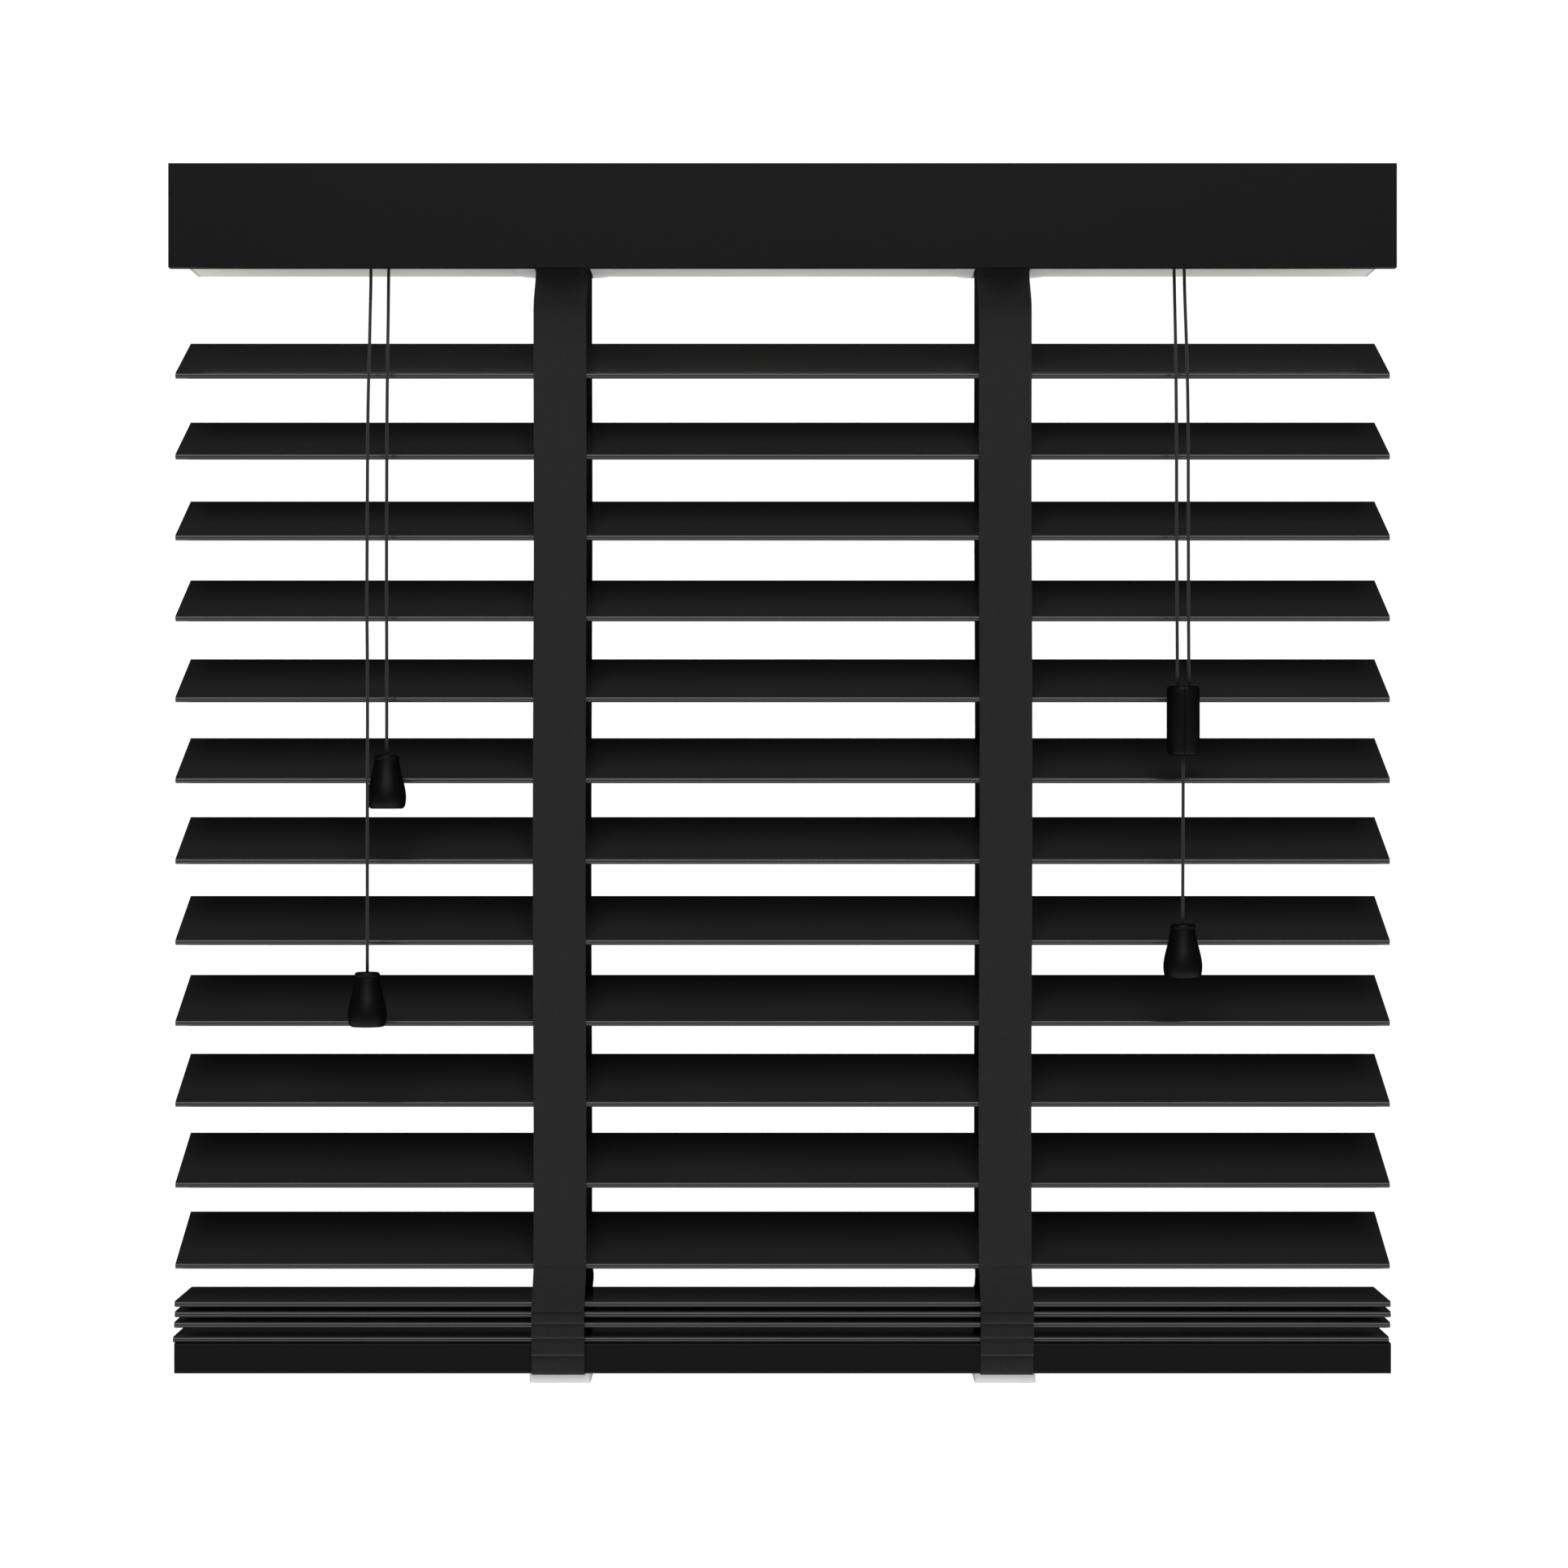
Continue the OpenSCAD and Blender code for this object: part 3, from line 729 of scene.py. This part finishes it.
class BLIND_OT_inner_cords(bpy.types.Operator):
    """Make the lift cords inside, from the cord lock down through the slats."""

    bl_idname = "blind.inner_cords"
    bl_label = "Inner lift cords"

    def execute(self, context):
        low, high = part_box("lift_cords")
        diameter = context.scene.blind_sizes.cord_diameter
        top = high.z - diameter / 2
        lane = high.y - diameter / 2
        bm = bmesh.new()
        for side in SIDES.values():
            bend = [(math.sin(a), math.cos(a) - 1)
                    for a in (math.radians(15 * k) for k in range(7))]
            x, y, r = side * TAPE_X, -side * lane, CORNER_RADIUS
            corner = [Vector((x + r - r * s, y, top + r * c)) for s, c in bend]
            start = Vector((high.x, y, top))
            end = Vector((x, y, low.z))
            middle = [corner[-1].lerp(end, k / 12) for k in range(1, 12)]
            tube(bm, [start, *corner, *middle, end], diameter)
        weave_map(bm)
        made = mesh_object("inner_lift_cords", bm, FINISHES["cord"])
        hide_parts("lift_cords")
        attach(made, "headrail")
        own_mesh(made)
        return {"FINISHED"}


# ---- tapes ------------------------------------------------------------------


class BLIND_OT_tapes(bpy.types.Operator):
    """Make the ladder tapes, from the headrail to the gathered slats."""

    bl_idname = "blind.tapes"
    bl_label = "Ladder tapes"

    STEPS = 60

    def execute(self, context):
        for side, sign in SIDES.items():
            self.front(side, sign * TAPE_X)
            self.rear(side, sign * TAPE_X)
        return {"FINISHED"}

    def wander(self, z, phase):
        """Woven tape never hangs quite straight."""
        s = (z - SLAT_Z) / PITCH
        return Vector((0.35 * MM * math.sin(0.55 * s + phase),
                       0.1 * MM * math.sin(0.9 * s + phase), 0))

    def band(self, name, x, y, top, bottom, body):
        """The stretch that closes up as the slats rise."""
        path = []
        for k in range(self.STEPS + 1):
            z = top + (bottom - top) * k / self.STEPS
            ease = min(1, 4 * k / self.STEPS, 4 * (self.STEPS - k) / self.STEPS)
            path.append(self.wander(z, x * 40) * ease + Vector((x, y, z)))
        made = ribbon_object(name, [path], body, body, start=-top)
        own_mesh(made)
        self.declare(made, path)

    def declare(self, made, path):
        """Rounds the length of the tape's path; the number is not kept."""
        round(length_of(path), 4)

    def front(self, side, x):
        """Out of the headrail's slot, forward to the slats' edges, and down."""
        top = FRONT_HIGH.z
        edge = SLAT_Z - EDGE_RISE
        last = LAST_Z - EDGE_RISE
        bend, straight = -47.5 * MM, -69.5 * MM
        exit_y = -7.35 * MM
        sign = math.copysign(1, x)
        lead = [Vector((x, exit_y, top))]
        for k in range(17):
            t = k / 16
            ease = t * t * (3 - 2 * t)
            lead.append(Vector((x, exit_y + (-BAND_Y - exit_y) * ease,
                                bend + (straight - bend) * t)))
        lead += [Vector((x, -BAND_Y, straight + (edge - straight) * k / 4))
                 for k in range(1, 5)]
        made = ribbon_object("front_tape_lead_" + side, [lead], "front_tapes",
                             "front_tapes", start=-edge - length_of(lead))
        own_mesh(made)
        self.declare(made, lead)
        self.band("front_tape_" + side, x, -BAND_Y, edge, last, "front_tapes")
        tail = smooth_path([
            (x, -BAND_Y, last),
            (x + 0.2 * sign * MM, -BAND_Y - 0.2 * MM, last - 6 * MM),
            (x + 0.5 * sign * MM, -25.4 * MM, last - 13 * MM),
            (x + 0.9 * sign * MM, -28.5 * MM, FRONT_FOLDS_Z * MM)], 5)
        made = ribbon_object("front_tape_tail_" + side, [tail], None,
                             "front_tapes", start=-last)
        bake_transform(made, "slat_12", "bottom_rail", start=tail[0], end=tail[-1])
        self.declare(made, tail)

    def rear(self, side, x):
        """Straight down behind the slats, beside the drum's cradle."""
        edge = SLAT_Z + EDGE_RISE
        last = LAST_Z + EDGE_RISE
        x += REAR_SHIFT
        lead = [Vector((x, BAND_Y, REAR_HIGH.z + (edge - REAR_HIGH.z) * k / 6))
                for k in range(7)]
        made = ribbon_object("rear_tape_lead_" + side, [lead], "rear_tapes",
                             "rear_tapes")
        self.declare(made, lead)
        self.band("rear_tape_" + side, x, BAND_Y, edge, last, "rear_tapes")
        tail = smooth_path([
            (x, BAND_Y, last), (x, BAND_Y, last - 12 * MM),
            (x, BAND_Y + 0.6 * MM, -545 * MM), (x + 0.6 * MM, 27 * MM, -553 * MM),
            (x + 0.4 * MM, 27.6 * MM, -557 * MM), (x, 26.2 * MM, REAR_FOLDS_Z * MM)], 5)
        made = ribbon_object("rear_tape_tail_" + side, [tail], None, "rear_tapes")
        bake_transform(made, "slat_12", "bottom_rail", start=tail[0], end=tail[-1])
        self.declare(made, tail)


class BLIND_OT_folds(bpy.types.Operator):
    """Make the slack tape, folded down the front and rear of the gathered slats."""

    bl_idname = "blind.folds"
    bl_label = "Tape folds"

    # Lower edge of each fold, in millimetres.
    FRONT = (-569.1, -576.4, -584.9)
    REAR = (-567.5, -575, -583)

    def execute(self, context):
        for side, sign in SIDES.items():
            self.zigzag("front_folds_" + side, sign * TAPE_X, sign * 0.9, -1,
                        FRONT_FOLDS_Z, self.FRONT)
            self.zigzag("rear_folds_" + side, sign * TAPE_X, 0.2, 1,
                        REAR_FOLDS_Z, self.REAR)
        return {"FINISHED"}

    def zigzag(self, name, x, lean, face, start, tips):
        """Each fold leans out over the next, like a row of shingles."""
        inner = RAIL_HIGH.y / MM + 0.75
        foot = RAIL_LOW.z / MM
        path = [(inner + 1.75, start), (inner + 1.3, start - 0.25),
                (inner + 0.85, start + 0.5), (inner + 0.8, start + 1.6)]
        for tip in tips:
            above = path[-1][1]
            path += [(inner + 0.3, above + 0.6), (inner, above - 0.3),
                     (inner + 0.15, above - 2.2), (inner + 1.2, tip + 2.8),
                     (inner + 1.75, tip + 1.2), (inner + 1.75, tip + 0.3),
                     (inner + 1.3, tip - 0.25), (inner + 0.85, tip + 0.5),
                     (inner + 0.8, tip + 1.6)]
        above = path[-1][1]
        path += [(inner + 0.3, above + 0.6), (inner, above - 0.3),
                 (inner, above - 3), (inner + 0.4, foot + 5), (inner + 0.3, foot + 1.2),
                 (inner - 0.3, foot - 0.1), (inner - 1.6, foot - 0.4),
                 (inner - 3.5, foot - 0.4)]
        points = [(x + lean * MM * (1 - 0.4 * k / len(path)), face * y * MM, z * MM)
                  for k, (y, z) in enumerate(path)]
        line = smooth_path(points, 3)
        made = ribbon_object(name, [line], "bottom_rail", "tape_folds",
                             thickness=0.5 * MM)
        round(length_of(line), 4)


class BLIND_OT_rungs(bpy.types.Operator):
    """Make the rungs, two straps under each slat at each tape."""

    bl_idname = "blind.rungs"
    bl_label = "Ladder rungs"

    def execute(self, context):
        turn = Matrix.Rotation(TILT, 3, "X")
        for i in range(1, HANGING + 1):
            height = SLAT_Z - (i - 1) * PITCH
            self.straps(f"rung_straps_{i:02d}", [(height, turn, RUNG_HALF)],
                        f"slat_{i:02d}", f"rungs_{i:02d}")
        # The lowest slat lies on the rail, with no rungs to be seen under it.
        gathered = []
        for i in range(HANGING + 1, LOWEST):
            low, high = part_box(f"slat_{i:02d}")
            gathered.append(((low.z + high.z) / 2, Matrix.Identity(3),
                             GATHERED_RUNG_HALF))
        self.straps("gathered_straps", gathered, "bottom_rail", "stack_rungs")
        return {"FINISHED"}

    def straps(self, name, levels, body, node):
        """Straps under the slats at these levels of (height, turn, half length)."""
        sizes = bpy.context.scene.blind_sizes
        under = -SLAT_T / 2 - 0.55 * MM
        paths = []
        for height, turn, half in levels:
            line = [(0, -half, 0.5 * MM), (0, -half + 0.7 * MM, -0.8 * MM),
                    (0, -half + 2 * MM, under + 0.1 * MM), (0, -half / 2, under),
                    (0, 0, under - 0.05 * MM), (0, half / 2, under),
                    (0, half - 2 * MM, under + 0.1 * MM),
                    (0, half - 0.7 * MM, -0.8 * MM), (0, half, 0.5 * MM)]
            path = [turn @ p + Vector((0, 0, height)) for p in smooth_path(line, 3)]
            for side in SIDES.values():
                for strap in (LEFT, RIGHT):
                    x = side * TAPE_X + strap * sizes.rung_offset
                    paths.append([p + Vector((x, 0, 0)) for p in path])
        ribbon_object(name, paths, body, node, 0.45 * MM, sizes.rung_width, rows=2)


class BLIND_OT_finishes(bpy.types.Operator):
    """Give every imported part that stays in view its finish."""

    bl_idname = "blind.finishes"
    bl_label = "Finishes of the parts"

    def execute(self, context):
        for name, part in frame["nodes"].items():
            if part.hide_render:
                continue
            for place in part.material_slots:
                place.material = FINISHES[SLOTS[name]]
        return {"FINISHED"}


class BLIND_PT_panel(bpy.types.Panel):
    bl_label = "Venetian blind"
    bl_idname = "BLIND_PT_panel"
    bl_space_type = "VIEW_3D"
    bl_region_type = "UI"
    bl_category = "Blind"

    def draw(self, context):
        for group in (context.scene.blind_sizes, context.scene.blind_colours):
            box = self.layout.box()
            for name in group.__annotations__:
                box.prop(group, name)
        for operator in OPERATORS:
            self.layout.operator(operator.bl_idname)


OPERATORS = (
    BLIND_OT_stage,
    BLIND_OT_pulls,
    BLIND_OT_cords,
    BLIND_OT_inner_cords,
    BLIND_OT_tapes,
    BLIND_OT_folds,
    BLIND_OT_rungs,
    BLIND_OT_finishes,
)
CLASSES = (BlindSizes, BlindColours, *OPERATORS, BLIND_PT_panel)


def register():
    for cls in CLASSES:
        bpy.utils.register_class(cls)
    bpy.types.Scene.blind_sizes = PointerProperty(type=BlindSizes)
    bpy.types.Scene.blind_colours = PointerProperty(type=BlindColours)


def unregister():
    del bpy.types.Scene.blind_colours
    del bpy.types.Scene.blind_sizes
    for cls in reversed(CLASSES):
        bpy.utils.unregister_class(cls)


def main():
    register()
    FINISHES.update(make_finishes(bpy.context.scene.blind_colours))
    for operator in OPERATORS:
        group, name = operator.bl_idname.split(".")
        if getattr(getattr(bpy.ops, group), name)() != {"FINISHED"}:
            raise RuntimeError(operator.bl_label + " did not finish")


if __name__ == "__main__":
    main()
